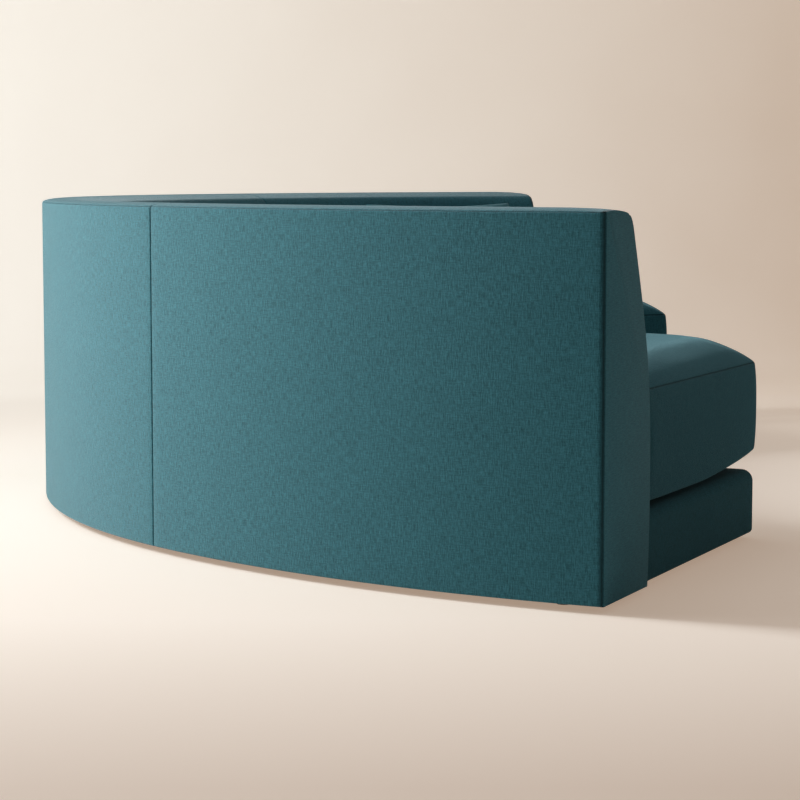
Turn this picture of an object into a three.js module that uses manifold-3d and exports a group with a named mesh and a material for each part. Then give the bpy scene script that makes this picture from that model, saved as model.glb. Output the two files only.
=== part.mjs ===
// A curved sofa in three modules: plywood ribs on arc-shaped sills carry a padded back and a plinth,
// with loose seat cushions and a pair of lumbar pillows. Millimetres, +Z up, the front toward -Y.
import * as THREE from "three";
import { mergeVertices } from "three/addons/utils/BufferGeometryUtils.js";
import Module from "manifold-3d";

// Plan of the outer back: one arc for the center module and a flatter arc for each wing.
const centerRadius = 1876;
const centerArcLength = 2414;
const wingRadius = 2354;
const wingArcLength = 1172;
const facetAngle = THREE.MathUtils.degToRad(3.5);

// Fits between pieces.
const fit = 0.3;
const backToSeat = 3;
const cushionGap = 2;
const cutOverrun = 30;

// Heights of the base, and board thicknesses.
const glideHeight = 12;
const dustSheet = 1;
const board = 18;
const deckBoard = 12;
const deckPadding = 12;
const plinthTop = 156;

// Profile of the back. Depths are measured in from the outer face.
const seamHeight = 741;
const crownRise = 8;
const footDepth = 262;
const waistDepth = 273;
const waistHeight = 250;
const shoulderDepth = 164;
const shoulderDrop = 31;
const topDepth = 136;
const topFrontDrop = 4;
const outerPanel = 12;
const frontPadding = 45;
const topPadding = 36;
const endPanelEdge = 5;

// Plinth.
const plinthFront = 1034;
const plinthInset = 12;
const plinthWall = 25;
const plinthRounding = 26;

// Ribs and sills.
const sillWidth = 90;
const ribInset = 10;
const ribMargin = 32;
const slotWeb = 64;
const slotHeight = 56;
const slotCount = 3;
const centerRibs = 5;
const wingRibs = 3;

// Glides.
const glideRadius = 18;
const glideFootRadius = 15;
const glideEdgeDistance = 70;

// Brackets that join the modules: a tongue on the center hooks down behind a strap on the wing.
const bracketPlate = 3;
const bracketTail = 45;
const tongueWidth = 22;
const tongueDrop = 24;
const catchFlange = 14;
const catchHeight = 30;

// Seat cushions: box cushions crowned above their top seam and below their foot seam, with sides
// drawn in a little toward both. The foot seam lifts toward the front.
const seatFront = 1050;
const seatSeam = 393;
const seatCrown = 72;
const seatBelly = 23;
const seatLift = 28;
const seatSeamDraw = 4;
const seatFootDraw = 10;
const seatCorner = 22;

// Lumbar pillows.
const pillowWidth = 560;
const pillowHeight = 292;
const pillowThickness = 130;
const pillowEdge = 4;
const pillowPinch = 20;
const pillowLean = THREE.MathUtils.degToRad(20);
const pillowFromEnd = 120;
const pillowSeatGap = 0.5;
const pillowBackGap = 12;

// Shares that shape the curved surfaces: how flat they stay before they fall away, and how steeply.
const faceShares = { waistPull: 0.42, lean: 0.66, shoulderPull: 0.4 };
const crownShares = { front: 0.6, rear: 0.1, pull: 1.4 };
const domeShares = { flatness: 3.5, fullness: 0.5 };
const drawShares = { power: 3, lift: 1.3 };
const pillowShares = { fullness: 0.5, power: 4 };

// Facets: steps along each curve of the profile, sides of round pieces and grids of the soft pieces.
const faceSteps = 8;
const shoulderSteps = 3;
const crownSteps = 6;
const footSteps = 2;
const roundingSteps = 2;
const slotSteps = 2;
const bevelSteps = 2;
const glideSides = 16;
const seatColumns = 22;
const seatRows = 12;
const seatLayers = 4;
const pillowColumns = 14;
const pillowRows = 10;
const settleSteps = 8;

// Levels and depths worked out from the sizes above.
const underside = glideHeight + fit + dustSheet + fit;
const sillTop = underside + board;
const deckTop = plinthTop - deckPadding - fit;
const joistTop = deckTop - deckBoard - fit;
const shoulderHeight = seamHeight - shoulderDrop;
const topFrontHeight = seamHeight - topFrontDrop;
const railTop = seamHeight - topPadding - fit;
const ribTop = railTop - board - fit;
const frameRear = outerPanel + fit;
const seatRear = waistDepth + backToSeat;
const seatBottom = plinthTop + fit;
const deckRear = waistDepth - frontPadding + fit;
const plinthRear = waistDepth + fit;
const endPanel = plinthInset + plinthWall;
const frameFront = plinthFront - plinthWall - fit;

// Angles run clockwise seen from above, with zero at the middle of the sofa.
const centerAngle = centerArcLength / centerRadius / 2;
const wingAngle = wingArcLength / wingRadius;

const wasm = await Module();
wasm.setup();

const cloth = (color) => new THREE.MeshStandardMaterial({ color, roughness: 0.95, metalness: 0 });
const materials = {
  upholstery: cloth(0x37666e),
  seat: cloth(0x305a62),
  pillow: cloth(0x3a6870),
  sheet: cloth(0x1c1c1e),
  plywood: new THREE.MeshStandardMaterial({ color: 0xc9a878, roughness: 0.7, metalness: 0 }),
  plastic: new THREE.MeshStandardMaterial({ color: 0x2a2a2c, roughness: 0.5, metalness: 0 }),
  steel: new THREE.MeshStandardMaterial({ color: 0x9aa0a4, roughness: 0.4, metalness: 1 }),
};

// Modules: a module's frame stands on the floor under its outer back, with +X along the back
// and -Y toward the front. Its outer end, where it has one, is not joined to another module.
function makeModule(name, radius, from, to, outerStart, outerEnd, ribs) {
  const rings = Math.ceil((to - from) / facetAngle);
  return { name, radius, from, to, rings, outerStart, outerEnd, ribs, group: new THREE.Group() };
}

const center = makeModule("center", centerRadius, -centerAngle, centerAngle, false, false, centerRibs);
const right = makeModule("right", wingRadius, 0, wingAngle, false, true, wingRibs);
const left = makeModule("left", wingRadius, -wingAngle, 0, true, false, wingRibs);
const modules = [left, center, right];

function modulePoint(module, angle, depth) {
  const reach = module.radius - depth;
  return new THREE.Vector2(reach * Math.sin(angle), reach * Math.cos(angle) - module.radius);
}

// A station is an angle and a distance moved along the back from it, the same at every depth.
function stationPoint(module, station, depth) {
  return modulePoint(module, station.angle + station.away / (module.radius - depth), depth);
}

// Stations along a module, with its ends kept back from the joint planes and the outer end.
function stationsBetween(module, fromJoint, fromOuter) {
  const stations = [];
  for (let ring = 0; ring <= module.rings; ring++) {
    const angle = module.from + ((module.to - module.from) * ring) / module.rings;
    stations.push({ angle, away: 0 });
  }
  stations[0].away = module.outerStart ? fromOuter : fromJoint;
  stations[module.rings].away = -(module.outerEnd ? fromOuter : fromJoint);
  return stations;
}

// Sweeps a section, drawn as depth and height, along the stations.
function sweepSection(module, section, stations) {
  const last = stations.length - 1;
  const geometry = new THREE.ExtrudeGeometry(new THREE.Shape(section), {
    depth: last,
    steps: last,
    bevelEnabled: false,
  });
  const position = geometry.getAttribute("position");
  for (let i = 0; i < position.count; i++) {
    const station = stations[last - Math.round(position.getZ(i))];
    const point = stationPoint(module, station, position.getX(i));
    position.setXYZ(i, point.x, point.y, position.getY(i));
  }
  return geometry;
}

// A level board that follows the arc between two depths and two heights.
function arcBoard(module, rear, front, bottom, top, fromJoint, fromOuter) {
  const stations = stationsBetween(module, fromJoint, fromOuter);
  const rearEdge = stations.map((station) => stationPoint(module, station, rear));
  const frontEdge = stations.map((station) => stationPoint(module, station, front));
  const outline = new THREE.Shape([...rearEdge, ...frontEdge.reverse()]);
  const geometry = new THREE.ExtrudeGeometry(outline, { depth: top - bottom, bevelEnabled: false });
  return geometry.translate(0, 0, bottom);
}

// A block of grid points, each placed by its column along the back, row of depth and layer of height.
function gridBlock(columns, rows, layers, place) {
  const geometry = new THREE.BoxGeometry(1, 1, 1, columns, rows, layers);
  const position = geometry.getAttribute("position");
  for (let i = 0; i < position.count; i++) {
    const column = Math.round((position.getX(i) + 0.5) * columns);
    const row = Math.round((0.5 - position.getY(i)) * rows);
    const layer = Math.round((position.getZ(i) + 0.5) * layers);
    const point = place(column, row, layer);
    position.setXYZ(i, point.x, point.y, point.z);
  }
  geometry.deleteAttribute("normal");
  geometry.deleteAttribute("uv");
  const merged = mergeVertices(geometry);
  merged.computeVertexNormals();
  return merged;
}

// Moves an object drawn along the back, up and toward the front to its place on the arc.
function standAt(object, module, angle, shift, depth) {
  const along = new THREE.Vector3(Math.cos(angle), -Math.sin(angle), 0);
  const up = new THREE.Vector3(0, 0, 1);
  const inward = new THREE.Vector3().crossVectors(along, up);
  const foot = modulePoint(module, angle, depth);
  const place = new THREE.Matrix4().makeBasis(along, up, inward);
  place.setPosition(foot.x + along.x * shift, foot.y + along.y * shift, 0);
  object.applyMatrix4(place);
}

// A flat plate drawn as depth and height, with its thickness centered on its place along the back.
function crossPlate(outline, thickness, edge = 0) {
  const geometry = new THREE.ExtrudeGeometry(outline, {
    depth: thickness - 2 * edge,
    curveSegments: slotSteps,
    bevelEnabled: edge > 0,
    bevelThickness: edge,
    bevelSize: edge,
    bevelOffset: -edge,
    bevelSegments: bevelSteps,
  });
  return geometry.translate(0, 0, edge - thickness / 2).rotateY(-Math.PI / 2);
}

function toSolid(geometry) {
  const bare = geometry.clone();
  bare.deleteAttribute("normal");
  bare.deleteAttribute("uv");
  const merged = mergeVertices(bare);
  const mesh = new wasm.Mesh({
    numProp: 3,
    vertProperties: merged.getAttribute("position").array,
    triVerts: new Uint32Array(merged.index.array),
  });
  return new wasm.Manifold(mesh);
}

function toGeometry(solid) {
  const mesh = solid.getMesh();
  const geometry = new THREE.BufferGeometry();
  geometry.setAttribute("position", new THREE.BufferAttribute(mesh.vertProperties, 3));
  geometry.setIndex(new THREE.BufferAttribute(mesh.triVerts, 1));
  geometry.computeVertexNormals();
  return geometry;
}

function add(module, name, geometry, material) {
  const mesh = new THREE.Mesh(geometry, material);
  mesh.name = name + "_" + module.name;
  module.group.add(mesh);
  return mesh;
}

// The back's front face rises from a waist to the shoulder, and its top crowns back to the rear seam.
const faceHeight = shoulderHeight - waistHeight;
const faceLean = waistDepth - shoulderDepth;
const crownPull = crownRise * crownShares.pull;

const facePoints = new THREE.CubicBezierCurve(
  new THREE.Vector2(waistDepth, waistHeight),
  new THREE.Vector2(waistDepth, waistHeight + faceHeight * faceShares.waistPull),
  new THREE.Vector2(
    shoulderDepth + faceLean * faceShares.lean,
    shoulderHeight - faceHeight * faceShares.shoulderPull,
  ),
  new THREE.Vector2(shoulderDepth, shoulderHeight),
).getPoints(faceSteps);

const shoulderPoints = new THREE.QuadraticBezierCurve(
  new THREE.Vector2(shoulderDepth, shoulderHeight),
  new THREE.Vector2((shoulderDepth + topDepth) / 2, topFrontHeight),
  new THREE.Vector2(topDepth, topFrontHeight),
).getPoints(shoulderSteps);

const crownPoints = new THREE.CubicBezierCurve(
  new THREE.Vector2(topDepth, topFrontHeight),
  new THREE.Vector2(topDepth * crownShares.front, seamHeight + crownPull),
  new THREE.Vector2(topDepth * crownShares.rear, seamHeight + crownPull),
  new THREE.Vector2(0, seamHeight),
).getPoints(crownSteps);

const footPoints = new THREE.QuadraticBezierCurve(
  new THREE.Vector2(footDepth, underside),
  new THREE.Vector2(waistDepth, (underside + waistHeight) / 2),
  new THREE.Vector2(waistDepth, waistHeight),
).getPoints(footSteps);

// Depth of the front face at a height, at the waist's depth below the waist.
function faceDepth(height) {
  if (height <= waistHeight) return waistDepth;
  const next = facePoints.findIndex((point) => point.y >= height);
  const above = facePoints[next];
  const below = facePoints[next - 1];
  const share = (height - below.y) / (above.y - below.y);
  return below.x + (above.x - below.x) * share;
}

// The front face moved back by a distance, from the waist up to a height.
function insetFace(distance, height) {
  const below = facePoints.filter((point) => point.y < height);
  const points = below.map((point) => new THREE.Vector2(point.x - distance, point.y));
  return [...points, new THREE.Vector2(faceDepth(height) - distance, height)];
}

// The padding wraps the front face and the top, and its lip covers the top edge of the outer panel.
function addBack(module) {
  const stations = stationsBetween(module, fit, endPanel + fit);
  const padFoot = deckTop + fit;
  const padding = [
    new THREE.Vector2(waistDepth, padFoot),
    ...facePoints,
    ...shoulderPoints.slice(1),
    ...crownPoints.slice(1),
    new THREE.Vector2(frameRear, seamHeight),
    new THREE.Vector2(frameRear, railTop + fit),
    ...insetFace(frontPadding, railTop + fit).reverse(),
    new THREE.Vector2(waistDepth - frontPadding, padFoot),
  ];
  add(module, "back_padding", sweepSection(module, padding, stations), materials.upholstery);
  const panel = [
    new THREE.Vector2(0, underside),
    new THREE.Vector2(outerPanel, underside),
    new THREE.Vector2(outerPanel, seamHeight - fit),
    new THREE.Vector2(0, seamHeight - fit),
  ];
  add(module, "outer_panel", sweepSection(module, panel, stations), materials.upholstery);
}

// The end panel closes a wing's outer end over the whole profile of the back.
function addEndPanel(module) {
  const outline = new THREE.Shape([
    ...footPoints,
    ...facePoints.slice(1),
    ...shoulderPoints.slice(1),
    ...crownPoints.slice(1),
    new THREE.Vector2(0, underside),
  ]);
  const geometry = crossPlate(outline, endPanel, endPanelEdge);
  const mesh = add(module, "end_panel", geometry, materials.upholstery);
  const side = module.outerEnd ? 1 : -1;
  standAt(mesh, module, module.outerEnd ? module.to : module.from, (-side * endPanel) / 2, 0);
}

// Ribs: one L-shaped plate each, with a tapered upright, a joist and lightening holes.
const joistSlotLength = (frameFront - deckRear - slotWeb * (slotCount + 1)) / slotCount;
const bracketDepth = deckRear + slotWeb + joistSlotLength + slotWeb / 2;

function ribOutline(rear) {
  const foot = sillTop + fit;
  const outline = new THREE.Shape([
    new THREE.Vector2(rear, foot),
    new THREE.Vector2(frameFront, foot),
    new THREE.Vector2(frameFront, joistTop),
    new THREE.Vector2(waistDepth - frontPadding - fit, joistTop),
    ...insetFace(frontPadding + fit, ribTop),
    new THREE.Vector2(rear, ribTop),
  ]);
  const windowFoot = joistTop + ribMargin;
  const windowTop = ribTop - ribMargin;
  const windowFront = insetFace(frontPadding + fit + ribMargin, windowTop);
  outline.holes.push(
    new THREE.Path([
      new THREE.Vector2(rear + ribMargin, windowFoot),
      new THREE.Vector2(windowFront[0].x, windowFoot),
      ...windowFront,
      new THREE.Vector2(rear + ribMargin, windowTop),
    ]),
  );
  const slotCenter = (foot + joistTop) / 2;
  const radius = slotHeight / 2;
  for (let i = 0; i < slotCount; i++) {
    const start = deckRear + slotWeb + (joistSlotLength + slotWeb) * i;
    const slot = new THREE.Path();
    slot.absarc(start + joistSlotLength - radius, slotCenter, radius, -Math.PI / 2, Math.PI / 2);
    slot.absarc(start + radius, slotCenter, radius, Math.PI / 2, (3 * Math.PI) / 2);
    outline.holes.push(slot);
  }
  return outline;
}

function addRibs(module) {
  const stepAngle = (module.to - module.from) / module.rings;
  const sag = module.radius * (1 - Math.cos(stepAngle / 2));
  const outline = ribOutline(frameRear + sag);
  for (let i = 0; i < module.ribs; i++) {
    const share = i / (module.ribs - 1);
    const fromStart = module.outerStart ? endPanel + fit : ribInset;
    const fromEnd = module.outerEnd ? endPanel + fit : ribInset;
    let shift = 0;
    if (share === 0) shift = fromStart + board / 2;
    if (share === 1) shift = -(fromEnd + board / 2);
    const angle = module.from + (module.to - module.from) * share;
    const mesh = add(module, "rib_" + (i + 1), crossPlate(outline, board), materials.plywood);
    standAt(mesh, module, angle, shift, 0);
  }
}

// Arc-shaped boards that tie the ribs together, the deck they carry and the sheet below them.
function addBoards(module) {
  const boards = [
    ["top_rail", frameRear, faceDepth(railTop) - frontPadding - fit, railTop - board, railTop],
    ["rear_sill", frameRear, frameRear + sillWidth, underside, sillTop],
    ["front_sill", frameFront - sillWidth, frameFront, underside, sillTop],
    ["deck", deckRear, frameFront, deckTop - deckBoard, deckTop],
  ];
  for (const [name, rear, front, bottom, top] of boards) {
    const geometry = arcBoard(module, rear, front, bottom, top, fit, endPanel + fit);
    add(module, name, geometry, materials.plywood);
  }
  const foot = glideHeight + fit;
  const front = plinthFront - plinthWall / 2;
  const fromOuter = plinthInset + plinthWall / 2;
  const sheet = arcBoard(module, frameRear, front, foot, foot + dustSheet, fit, fromOuter);
  add(module, "dust_sheet", sheet, materials.sheet);
}

// Rows of a rounded zone lie at these shares of it, so that they turn evenly once pulled onto the circle.
const roundingShares = [];
for (let i = 1; i <= roundingSteps; i++) {
  const turn = ((i / roundingSteps) * Math.PI) / 4;
  roundingShares.push(Math.tan(turn));
}

// Columns along the back for a block whose outer end, where it has one, is rounded.
function roundedColumns(module, fromJoint, fromOuter, radius) {
  const columns = stationsBetween(module, fromJoint, fromOuter + radius).map((station) => ({
    ...station,
    over: 0,
    toEnd: 0,
  }));
  for (const share of roundingShares) {
    const over = radius * share;
    const away = fromOuter + radius;
    if (module.outerEnd) columns.push({ angle: module.to, away: -away, over, toEnd: 1 });
    if (module.outerStart) columns.unshift({ angle: module.from, away, over, toEnd: -1 });
  }
  return columns;
}

// The plinth cover: an upholstered lid, open below and behind, rounded at its top, front and outer end.
function addPlinth(module) {
  const columns = roundedColumns(module, fit, plinthInset, plinthRounding);
  const rows = [
    { base: plinthRear, over: 0 },
    { base: plinthFront - plinthRounding, over: 0 },
  ];
  const layers = [
    { base: underside, over: 0 },
    { base: plinthTop - plinthRounding, over: 0 },
  ];
  for (const share of roundingShares) {
    rows.push({ base: plinthFront - plinthRounding, over: plinthRounding * share });
    layers.push({ base: plinthTop - plinthRounding, over: plinthRounding * share });
  }
  const block = gridBlock(columns.length - 1, rows.length - 1, layers.length - 1, (i, j, k) => {
    const over = new THREE.Vector3(columns[i].over, rows[j].over, layers[k].over);
    const most = Math.max(over.x, over.y, over.z);
    if (most > 0) over.multiplyScalar(most / over.length());
    const station = { angle: columns[i].angle, away: columns[i].away + columns[i].toEnd * over.x };
    const point = stationPoint(module, station, rows[j].base + over.y);
    return new THREE.Vector3(point.x, point.y, layers[k].base + over.z);
  });
  const rear = plinthRear - cutOverrun;
  const front = plinthFront - plinthWall;
  const foot = underside - cutOverrun;
  const lid = plinthTop - deckPadding;
  const hollow = arcBoard(module, rear, front, foot, lid, -cutOverrun, plinthInset + plinthWall);
  const cover = toSolid(block).subtract(toSolid(hollow));
  add(module, "plinth_cover", toGeometry(cover), materials.upholstery);
}

// Glides under the four corners of each module, numbered from its start, the rear one first.
function addGlides(module) {
  const glide = new THREE.CylinderGeometry(glideRadius, glideFootRadius, glideHeight, glideSides);
  glide.translate(0, glideHeight / 2, 0);
  const rear = frameRear + sillWidth - glideRadius;
  const front = frameFront - sillWidth + glideRadius;
  const fromStart = (module.outerStart ? endPanel : 0) + glideEdgeDistance;
  const fromEnd = (module.outerEnd ? endPanel : 0) + glideEdgeDistance;
  const corners = [
    [module.from, fromStart, rear],
    [module.from, fromStart, front],
    [module.to, -fromEnd, rear],
    [module.to, -fromEnd, front],
  ];
  corners.forEach(([angle, shift, depth], i) => {
    const mesh = add(module, "glide_" + (i + 1), glide, materials.plastic);
    standAt(mesh, module, angle, shift, depth);
  });
}

// Joining brackets, drawn from the joint plane: the tongue bends over and down behind the strap.
const bracketHeight = (sillTop + joistTop) / 2;
const tongueBack = ribInset - fit - bracketPlate;
const strapBack = tongueBack - bracketPlate - fit;

function addTongue(side) {
  const top = bracketHeight + catchHeight / 2 + fit + bracketPlate;
  const outline = new THREE.Shape([
    new THREE.Vector2(side * (fit - ribInset), top - bracketTail),
    new THREE.Vector2(side * (fit - ribInset), top),
    new THREE.Vector2(side * tongueBack, top),
    new THREE.Vector2(side * tongueBack, top - tongueDrop),
    new THREE.Vector2(side * (tongueBack - bracketPlate), top - tongueDrop),
    new THREE.Vector2(side * (tongueBack - bracketPlate), top - bracketPlate),
    new THREE.Vector2(side * (fit + bracketPlate - ribInset), top - bracketPlate),
    new THREE.Vector2(side * (fit + bracketPlate - ribInset), top - bracketTail),
  ]);
  const geometry = new THREE.ExtrudeGeometry(outline, { depth: tongueWidth, bevelEnabled: false });
  geometry.translate(0, 0, -tongueWidth / 2);
  const mesh = add(center, "bracket_tongue", geometry, materials.steel);
  mesh.name = side > 0 ? "bracket_tongue_right" : "bracket_tongue_left";
  standAt(mesh, center, side > 0 ? center.to : center.from, 0, bracketDepth);
}

function addCatch(module, side) {
  const pocket = tongueWidth / 2 + fit;
  const wall = pocket + bracketPlate;
  const half = [
    [ribInset - fit, pocket],
    [ribInset - fit, wall + catchFlange],
    [ribInset - fit - bracketPlate, wall + catchFlange],
    [ribInset - fit - bracketPlate, wall],
    [strapBack - bracketPlate, wall],
  ];
  const points = half.map(([x, y]) => new THREE.Vector2(side * x, y));
  const mirrored = half.map(([x, y]) => new THREE.Vector2(side * x, -y)).reverse();
  const inner = [
    new THREE.Vector2(side * strapBack, -pocket),
    new THREE.Vector2(side * strapBack, pocket),
  ];
  const outline = new THREE.Shape([...points, ...mirrored, ...inner]);
  const geometry = new THREE.ExtrudeGeometry(outline, { depth: catchHeight, bevelEnabled: false });
  geometry.rotateX(-Math.PI / 2).translate(0, bracketHeight - catchHeight / 2, 0);
  const mesh = add(module, "bracket_catch", geometry, materials.steel);
  standAt(mesh, module, side > 0 ? module.from : module.to, 0, bracketDepth);
}

// Seat cushions. Grid lines crowd toward the edges, where the surface turns.
const crowd = (share) => Math.sin((share * 2 - 1) * (Math.PI / 2));
const dome = (share) => (1 - Math.abs(share) ** domeShares.flatness) ** domeShares.fullness;

// The seat's rear, front and end sides at a level from -1, its foot seam, to 1, its top seam.
function seatSides(module, level) {
  const draw = (level < 0 ? seatFootDraw : seatSeamDraw) * Math.abs(level) ** drawShares.power;
  return {
    rear: seatRear + draw,
    front: seatFront - draw,
    start: (module.outerStart ? plinthInset : cushionGap) + draw,
    end: (module.outerEnd ? plinthInset : cushionGap) + draw,
  };
}

function seatPoint(module, across, inward, level) {
  const sides = seatSides(module, level);
  const halfDepth = (sides.front - sides.rear) / 2;
  const middle = (sides.front + sides.rear) / 2;
  const reach = module.radius - middle - halfDepth * inward;
  const halfWidth = ((module.to - module.from) * reach - sides.start - sides.end) / 2;
  const overAcross = Math.max(Math.abs(across) * halfWidth - halfWidth + seatCorner, 0);
  const overInward = Math.max(Math.abs(inward) * halfDepth - halfDepth + seatCorner, 0);
  let pull = 1;
  if (overAcross > 0 && overInward > 0)
    pull = Math.max(overAcross, overInward) / Math.hypot(overAcross, overInward);
  const depth = middle + Math.sign(inward) * (Math.abs(inward) * halfDepth - overInward * (1 - pull));
  const fromEnd = halfWidth - Math.abs(across) * halfWidth + overAcross * (1 - pull);
  const station =
    across > 0
      ? { angle: module.to, away: -sides.end - fromEnd }
      : { angle: module.from, away: sides.start + fromEnd };
  const point = stationPoint(module, station, depth);
  const crown = level === 1 ? seatCrown * dome(across) * dome(inward) : 0;
  const foot = seatBottom + seatBelly + seatLift * Math.max(inward, 0) ** drawShares.lift;
  const belly = level === -1 ? (foot - seatBottom) * dome(across) * dome(inward) : 0;
  const height = foot + ((seatSeam - foot) * (level + 1)) / 2 - belly;
  return new THREE.Vector3(point.x, point.y, height + crown);
}

function addSeat(module) {
  const columns = Math.min(2 * module.rings, seatColumns);
  const geometry = gridBlock(columns, seatRows, seatLayers, (i, j, k) => {
    return seatPoint(module, crowd(i / columns), crowd(j / seatRows), crowd(k / seatLayers));
  });
  return add(module, "seat_cushion", geometry, materials.seat);
}

// Height of a seat cushion's faceted crown under a point, in its module's frame.
function seatHeightAt(seat, point) {
  const above = new THREE.Vector3(point.x, point.y, seatSeam + seatCrown + cutOverrun);
  const hits = new THREE.Raycaster(above, new THREE.Vector3(0, 0, -1)).intersectObject(seat);
  return hits.length > 0 ? hits[0].point.z : seatSeam;
}

// Lumbar pillows lean on the back near the outer ends, with their lower corners on the seat.
function pillowGeometry() {
  const puff = (share) => (1 - Math.abs(share) ** pillowShares.power) ** pillowShares.fullness;
  return gridBlock(pillowColumns, pillowRows, 1, (i, j, k) => {
    const across = crowd(i / pillowColumns);
    const upward = crowd(j / pillowRows);
    const side = 2 * k - 1;
    const halfWidth = pillowWidth / 2 - pillowPinch * (1 - upward ** 2);
    const halfHeight = pillowHeight / 2 - pillowPinch * (1 - across ** 2);
    const half = pillowEdge / 2 + ((pillowThickness - pillowEdge) / 2) * puff(across) * puff(upward);
    return new THREE.Vector3(across * halfWidth, -upward * halfHeight, side * half);
  });
}

function addPillow(module, seat, side) {
  const mesh = add(module, "lumbar_pillow", pillowGeometry(), materials.pillow);
  const corner = new THREE.Vector2(pillowWidth / 2, pillowHeight / 2);
  const rise = corner.y * Math.cos(pillowLean) + (pillowEdge / 2) * Math.sin(pillowLean);
  const setback = corner.y * Math.sin(pillowLean);
  const end = side > 0 ? module.to : module.from;
  let height = seatSeam + rise;
  let depth = 0;
  let angle = end;
  for (let i = 0; i < settleSteps; i++) {
    depth = faceDepth(height) + (pillowThickness / 2 + pillowBackGap) / Math.cos(pillowLean);
    angle = end - (side * (pillowFromEnd + corner.x)) / (module.radius - depth);
    const along = new THREE.Vector2(Math.cos(angle), -Math.sin(angle)).multiplyScalar(corner.x);
    const edge = modulePoint(module, angle, depth + setback);
    const outerLevel = seatHeightAt(seat, edge.clone().add(along));
    const innerLevel = seatHeightAt(seat, edge.clone().sub(along));
    height = Math.max(outerLevel, innerLevel) + rise + pillowSeatGap;
  }
  mesh.rotateX(-pillowLean);
  mesh.position.y = height;
  mesh.updateMatrix();
  standAt(mesh, module, angle, 0, depth);
}

for (const module of modules) {
  addBack(module);
  addRibs(module);
  addBoards(module);
  addPlinth(module);
  addGlides(module);
}
addSeat(center);
for (const [module, side] of [[right, 1], [left, -1]]) {
  addEndPanel(module);
  addTongue(side);
  addCatch(module, side);
  addPillow(module, addSeat(module), side);
}

// The wings swing forward from the ends of the center module.
const jointX = centerRadius * Math.sin(centerAngle);
const jointY = -centerRadius * (1 - Math.cos(centerAngle));
right.group.position.set(jointX, jointY, 0);
right.group.rotation.z = -centerAngle;
left.group.position.set(-jointX, jointY, 0);
left.group.rotation.z = centerAngle;

// The origin lies on the floor under the middle of the sofa's bounding box.
const sofa = new THREE.Group();
sofa.add(...modules.map((module) => module.group));
const box = new THREE.Box3().setFromObject(sofa, true);
for (const module of modules) module.group.position.y -= (box.min.y + box.max.y) / 2;

export default sofa;
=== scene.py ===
"""A curved sofa in three joined sections, upholstered in a slubbed teal linen: covers swept along
the arcs of the back, cushions and pillows filled by cloth simulation, and a studio of floor, wall
and lamps. Lengths are in metres."""

from collections import namedtuple
import math

import bmesh
import bpy
import numpy as np
from mathutils import Matrix, Vector


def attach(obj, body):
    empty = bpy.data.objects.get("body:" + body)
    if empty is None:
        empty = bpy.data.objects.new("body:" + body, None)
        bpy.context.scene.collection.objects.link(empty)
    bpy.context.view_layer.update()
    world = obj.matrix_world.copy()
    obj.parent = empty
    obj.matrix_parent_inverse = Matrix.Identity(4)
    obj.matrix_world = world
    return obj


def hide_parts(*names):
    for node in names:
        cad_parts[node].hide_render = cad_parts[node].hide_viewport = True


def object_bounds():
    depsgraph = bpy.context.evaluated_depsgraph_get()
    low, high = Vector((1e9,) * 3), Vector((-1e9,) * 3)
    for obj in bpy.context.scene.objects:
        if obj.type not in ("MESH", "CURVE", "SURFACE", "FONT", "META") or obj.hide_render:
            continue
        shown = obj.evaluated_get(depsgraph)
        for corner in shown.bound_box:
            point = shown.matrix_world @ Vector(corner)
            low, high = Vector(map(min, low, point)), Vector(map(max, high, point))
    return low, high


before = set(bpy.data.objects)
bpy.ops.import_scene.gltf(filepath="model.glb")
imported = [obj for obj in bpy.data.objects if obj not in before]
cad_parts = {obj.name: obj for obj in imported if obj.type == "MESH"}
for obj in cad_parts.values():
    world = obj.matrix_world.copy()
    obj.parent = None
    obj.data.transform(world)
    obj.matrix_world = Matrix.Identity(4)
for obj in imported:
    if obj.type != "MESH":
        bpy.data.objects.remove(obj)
cad_low, cad_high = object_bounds()

# Camera: the photograph's place, height, pitch and lens.
CAMERA_PLACE = Vector((-6.2185, -0.0559, 0.8137))
CAMERA_PITCH = math.radians(5.429)
CAMERA_LENS = 107.9
CAMERA_SENSOR = 36
CAMERA_NEAR = 0.05
CAMERA_FAR = 100

# Studio: a floor that curves up into a wall.
FLOOR_NEAR = -14.0
FLOOR_HALF_WIDTH = 14.0
WALL_PLACE = 4.3
WALL_HEIGHT = 9.0
COVE_RADIUS = 1.1
COVE_STEPS = 16

# Plaster: its own colour, the painted light that the camera sees on it beyond the lamps' light,
# standing in for light falling off across wall and floor and for the floor's shade, and the
# places between which one painted glow turns into the next.
PLASTER = (0.79, 0.78, 0.74, 1)
WALL_LEFT_PAINTED_LIGHT = (0.755, 0.69, 0.61, 1)
WALL_RIGHT_PAINTED_LIGHT = (0.42, 0.30, 0.215, 1)
FLOOR_NEAR_PAINTED_LIGHT = (0.17, 0.065, 0.005, 1)
FLOOR_FAR_PAINTED_LIGHT = (0.385, 0.285, 0.215, 1)
GLOW_LEFT = 1.7
GLOW_RIGHT = -1.8
GLOW_NEAR = -3.1
GLOW_FAR = -1.9
FLOOR_GLOW_END = 0.2
WALL_GLOW_START = 2.6
CLOUD_SCALE = 1.3
CLOUD_SHARE = 0.04

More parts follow.
